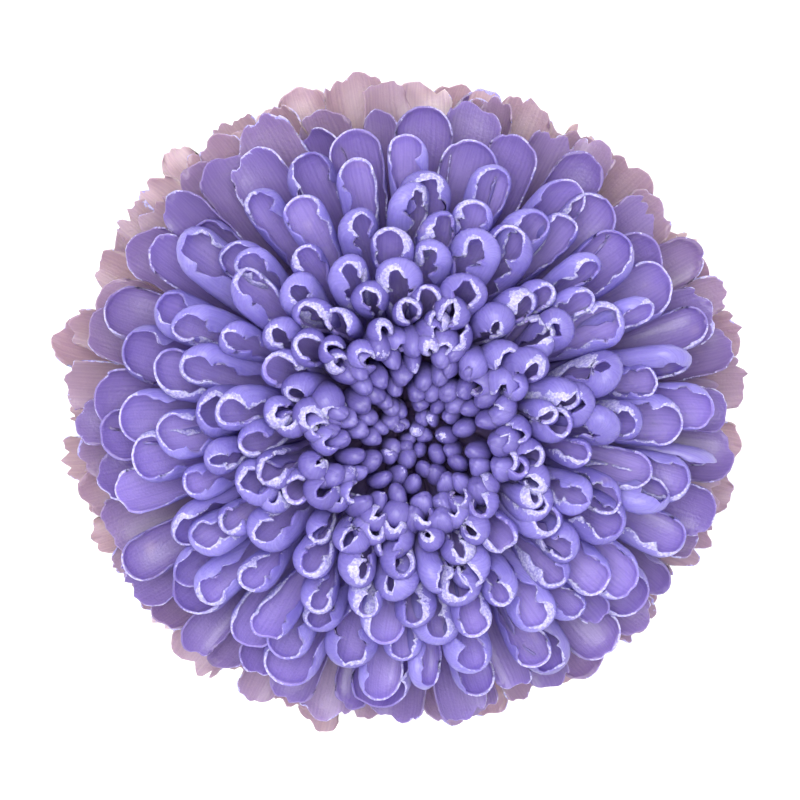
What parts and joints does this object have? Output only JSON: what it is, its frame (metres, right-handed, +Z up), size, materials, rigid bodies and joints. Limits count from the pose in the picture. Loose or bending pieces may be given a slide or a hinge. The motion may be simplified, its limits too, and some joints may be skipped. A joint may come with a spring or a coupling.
{
  "type": "pompon chrysanthemum flower head",
  "caption": "Violet-blue pompon chrysanthemum head lying face up, with closed central florets, quilled and spoon-shaped outer florets, green bracts and a short cut stem stub.",
  "frame": {"origin": "middle of the stem's flat cut end, on the surface that the head stands on", "axes": "+Z up the flower's axis, from the cut stem end to the middle of the bloom; +X to the right and +Y to the top of the reference picture"},
  "size_m": [0.0614, 0.059, 0.029],
  "materials": {
    "florets": "satin",
    "bracts": "matt",
    "stem": "satin"
  },
  "bodies": {
    "root": {"florets": "florets", "bracts": "bracts", "stem": "stem"}
  },
  "joints": []
}
